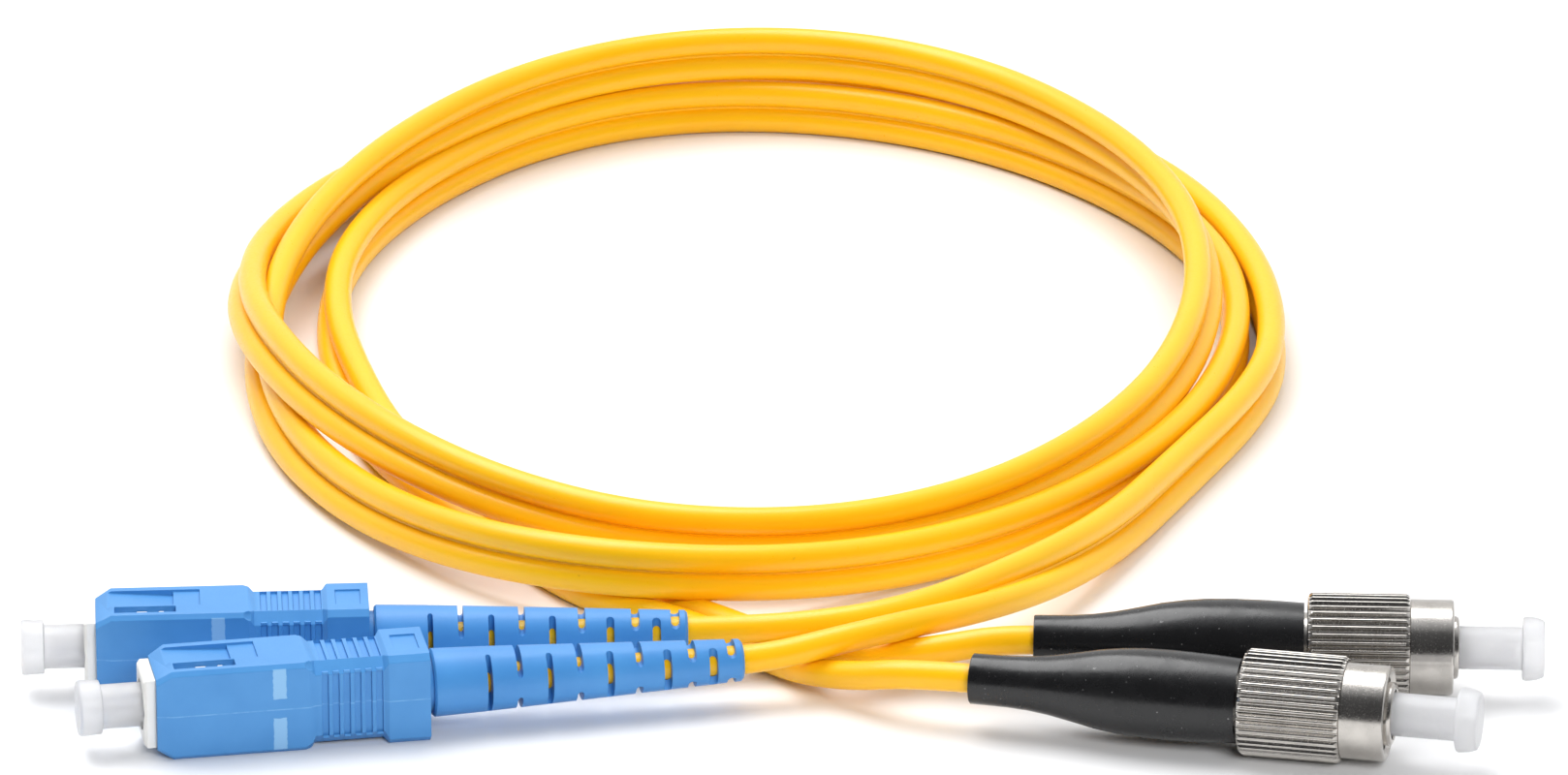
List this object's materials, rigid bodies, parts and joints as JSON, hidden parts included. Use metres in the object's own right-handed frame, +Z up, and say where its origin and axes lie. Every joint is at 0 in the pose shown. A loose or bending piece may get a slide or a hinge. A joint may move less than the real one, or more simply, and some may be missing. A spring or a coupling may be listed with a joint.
{
  "type": "fiber optic patch cord",
  "caption": "Duplex fibre optic patch cord, square push-pull plugs at one end and knurled screw plugs at the other, dust caps on, yellow twin cord in a loose coil.",
  "frame": {"origin": "on the table, under the middle of the four connectors", "axes": "+X runs along the connectors from the square plugs to the screw plugs, +Y to the coil, +Z up"},
  "size_m": [0.1447, 0.1732, 0.0115],
  "materials": {
    "sleeve_blue": "moulded blue engineering plastic, satin gloss",
    "boot_blue": "soft blue elastomer, satin",
    "frame_ivory": "off-white moulded plastic",
    "zirconia": "polished white ceramic",
    "nickel": "bright nickel plate on brass, fine turning marks",
    "spring_steel": "drawn stainless wire",
    "buffer_white": "tight buffer tube",
    "post_metal": "machined plated brass",
    "crimp_aluminium": "plain crimp tube",
    "jacket_yellow": "smooth soft yellow PVC jacket",
    "cap_translucent": "translucent soft polyethylene",
    "boot_black": "glossy black elastomer"
  },
  "bodies": {
    "root": {"sc_1_plug_frame": "frame_ivory", "sc_1_spring": "spring_steel", "sc_1_rear_post": "post_metal", "sc_1_crimp_sleeve": "crimp_aluminium", "sc_1_boot": "boot_blue", "sc_1_jacket_end": "jacket_yellow", "sc_1_strand": "jacket_yellow", "sc_2_plug_frame": "frame_ivory", "sc_2_spring": "spring_steel", "sc_2_rear_post": "post_metal", "sc_2_crimp_sleeve": "crimp_aluminium", "sc_2_boot": "boot_blue", "sc_2_jacket_end": "jacket_yellow", "sc_2_strand": "jacket_yellow", "fc_1_key_barrel": "nickel", "fc_1_retaining_ring": "spring_steel", "fc_1_spring": "spring_steel", "fc_1_rear_post": "post_metal", "fc_1_crimp_sleeve": "crimp_aluminium", "fc_1_boot": "boot_black", "fc_1_jacket_end": "jacket_yellow", "fc_1_strand": "jacket_yellow", "fc_2_key_barrel": "nickel", "fc_2_retaining_ring": "spring_steel", "fc_2_spring": "spring_steel", "fc_2_rear_post": "post_metal", "fc_2_crimp_sleeve": "crimp_aluminium", "fc_2_boot": "boot_black", "fc_2_jacket_end": "jacket_yellow", "fc_2_strand": "jacket_yellow", "cord_coil": "jacket_yellow"},
    "sc_1_sleeve_body": {"sc_1_grip_sleeve": "sleeve_blue"},
    "sc_1_ferrule_body": {"sc_1_ferrule": "zirconia", "sc_1_ferrule_holder": "nickel", "sc_1_buffered_fibre": "buffer_white"},
    "sc_1_cap_body": {"sc_1_dust_cap": "cap_translucent"},
    "sc_2_sleeve_body": {"sc_2_grip_sleeve": "sleeve_blue"},
    "sc_2_ferrule_body": {"sc_2_ferrule": "zirconia", "sc_2_ferrule_holder": "nickel", "sc_2_buffered_fibre": "buffer_white"},
    "sc_2_cap_body": {"sc_2_dust_cap": "cap_translucent"},
    "fc_1_nut_body": {"fc_1_coupling_nut": "nickel"},
    "fc_1_ferrule_body": {"fc_1_ferrule": "zirconia", "fc_1_ferrule_holder": "nickel", "fc_1_buffered_fibre": "buffer_white"},
    "fc_1_cap_body": {"fc_1_dust_cap": "cap_translucent"},
    "fc_2_nut_body": {"fc_2_coupling_nut": "nickel"},
    "fc_2_ferrule_body": {"fc_2_ferrule": "zirconia", "fc_2_ferrule_holder": "nickel", "fc_2_buffered_fibre": "buffer_white"},
    "fc_2_cap_body": {"fc_2_dust_cap": "cap_translucent"}
  },
  "joints": [
    {"name": "sc_1_sleeve_slide", "type": "slide", "parent": "root", "child": "sc_1_sleeve_body", "axis": [-0.9839, -0.1788, 0], "range_m": [-0.0003, 0.001]},
    {"name": "sc_1_ferrule_float", "type": "slide", "parent": "root", "child": "sc_1_ferrule_body", "axis": [-0.9839, -0.1788, 0], "range_m": [-0.001, 0], "stiffness_N_per_m": 1500, "springref_m": 0.005, "deforming": ["sc_1_spring"]},
    {"name": "sc_1_cap_pull", "type": "slide", "parent": "sc_1_ferrule_body", "child": "sc_1_cap_body", "axis": [-0.9839, -0.1788, 0], "range_m": [0, 0.025]},
    {"name": "sc_2_sleeve_slide", "type": "slide", "parent": "root", "child": "sc_2_sleeve_body", "axis": [-0.9981, -0.061, 0], "range_m": [-0.0003, 0.001]},
    {"name": "sc_2_ferrule_float", "type": "slide", "parent": "root", "child": "sc_2_ferrule_body", "axis": [-0.9981, -0.061, 0], "range_m": [-0.001, 0], "stiffness_N_per_m": 1500, "springref_m": 0.005, "deforming": ["sc_2_spring"]},
    {"name": "sc_2_cap_pull", "type": "slide", "parent": "sc_2_ferrule_body", "child": "sc_2_cap_body", "axis": [-0.9981, -0.061, 0], "range_m": [0, 0.025]},
    {"name": "fc_1_nut_spin", "type": "hinge", "parent": "root", "child": "fc_1_nut_body", "pos_m": [0.04981, -0.00741, 0.00505], "axis": [0.9789, -0.2045, 0], "continuous": true},
    {"name": "fc_1_ferrule_float", "type": "slide", "parent": "root", "child": "fc_1_ferrule_body", "axis": [0.9789, -0.2045, 0], "range_m": [-0.001, 0], "stiffness_N_per_m": 1500, "springref_m": 0.005, "deforming": ["fc_1_spring"]},
    {"name": "fc_1_cap_pull", "type": "slide", "parent": "fc_1_ferrule_body", "child": "fc_1_cap_body", "axis": [0.9789, -0.2045, 0], "range_m": [0, 0.025]},
    {"name": "fc_2_nut_spin", "type": "hinge", "parent": "root", "child": "fc_2_nut_body", "pos_m": [0.05647, 0.00687, 0.00505], "axis": [0.999, -0.0436, 0], "continuous": true},
    {"name": "fc_2_ferrule_float", "type": "slide", "parent": "root", "child": "fc_2_ferrule_body", "axis": [0.999, -0.0436, 0], "range_m": [-0.001, 0], "stiffness_N_per_m": 1500, "springref_m": 0.005, "deforming": ["fc_2_spring"]},
    {"name": "fc_2_cap_pull", "type": "slide", "parent": "fc_2_ferrule_body", "child": "fc_2_cap_body", "axis": [0.999, -0.0436, 0], "range_m": [0, 0.025]}
  ]
}
